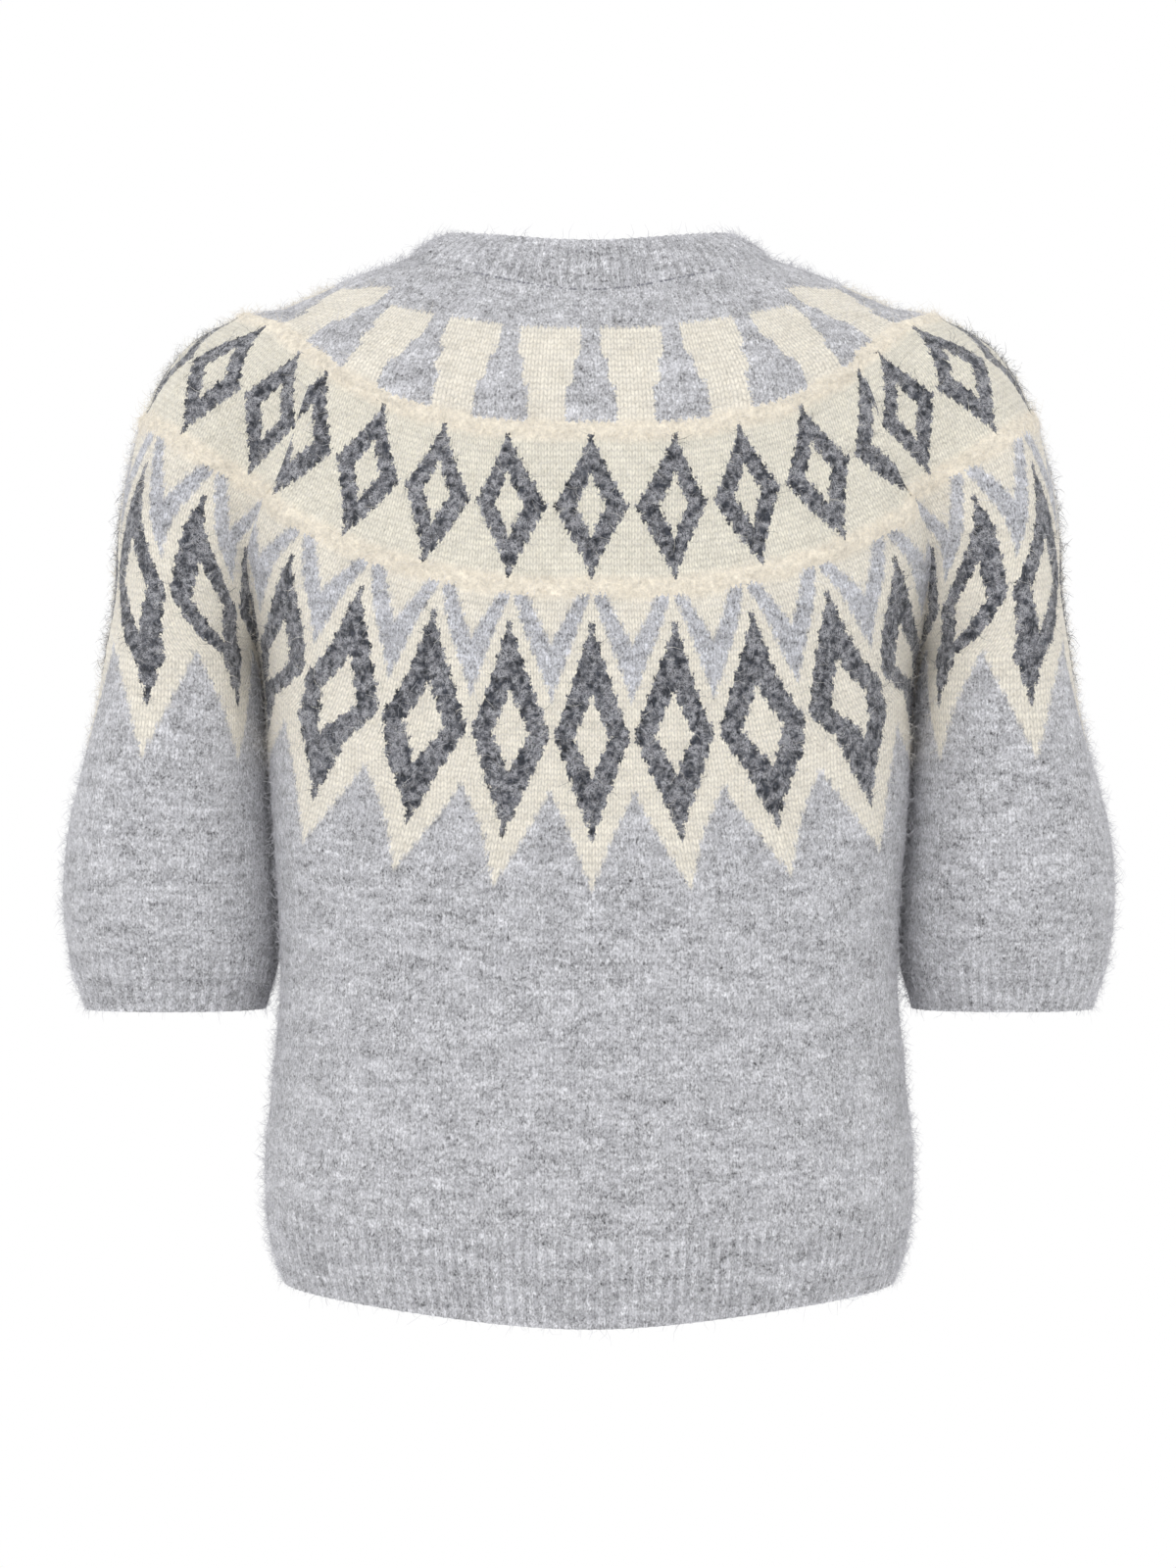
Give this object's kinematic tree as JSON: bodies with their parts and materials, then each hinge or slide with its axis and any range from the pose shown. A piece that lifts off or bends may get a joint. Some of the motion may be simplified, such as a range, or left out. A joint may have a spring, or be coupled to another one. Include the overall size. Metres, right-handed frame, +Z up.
{
  "type": "fair isle cardigan",
  "caption": "Cropped, brushed wool yoke cardigan with elbow-length sleeves, a low stand neckband and ribbed cuffs and hem, buttoned up and filled out as if worn.",
  "frame": {"origin": "in the middle of the neck, level with the neck seam at the shoulders, where the wearer holds the garment up", "axes": "+Z up, the wearer faces -Y and the back of the garment faces +Y, +X towards the wearer's left"},
  "size_m": [0.5382, 0.23, 0.547],
  "materials": {
    "back": "brushed wool knit",
    "front_left": "brushed wool knit",
    "front_right": "brushed wool knit",
    "sleeve_left": "brushed wool knit",
    "sleeve_right": "brushed wool knit",
    "cuff_left": "ribbed wool knit",
    "cuff_right": "ribbed wool knit",
    "hem_back": "ribbed wool knit",
    "hem_left": "ribbed wool knit",
    "hem_right": "ribbed wool knit",
    "neckband": "ribbed wool knit",
    "button_band": "ribbed wool knit",
    "buttonhole_band": "ribbed wool knit",
    "button_1": "satin dark horn-coloured plastic",
    "button_2": "satin dark horn-coloured plastic",
    "button_3": "satin dark horn-coloured plastic",
    "button_4": "satin dark horn-coloured plastic",
    "button_5": "satin dark horn-coloured plastic",
    "button_6": "satin dark horn-coloured plastic",
    "button_7": "satin dark horn-coloured plastic"
  },
  "bodies": {
    "root": {"back": "back", "front_left": "front_left", "front_right": "front_right", "sleeve_left": "sleeve_left", "sleeve_right": "sleeve_right", "cuff_left": "cuff_left", "cuff_right": "cuff_right", "hem_back": "hem_back", "hem_left": "hem_left", "hem_right": "hem_right", "neckband": "neckband", "button_band": "button_band", "buttonhole_band": "buttonhole_band", "button_1": "button_1", "button_2": "button_2", "button_3": "button_3", "button_4": "button_4", "button_5": "button_5", "button_6": "button_6", "button_7": "button_7"}
  },
  "joints": []
}
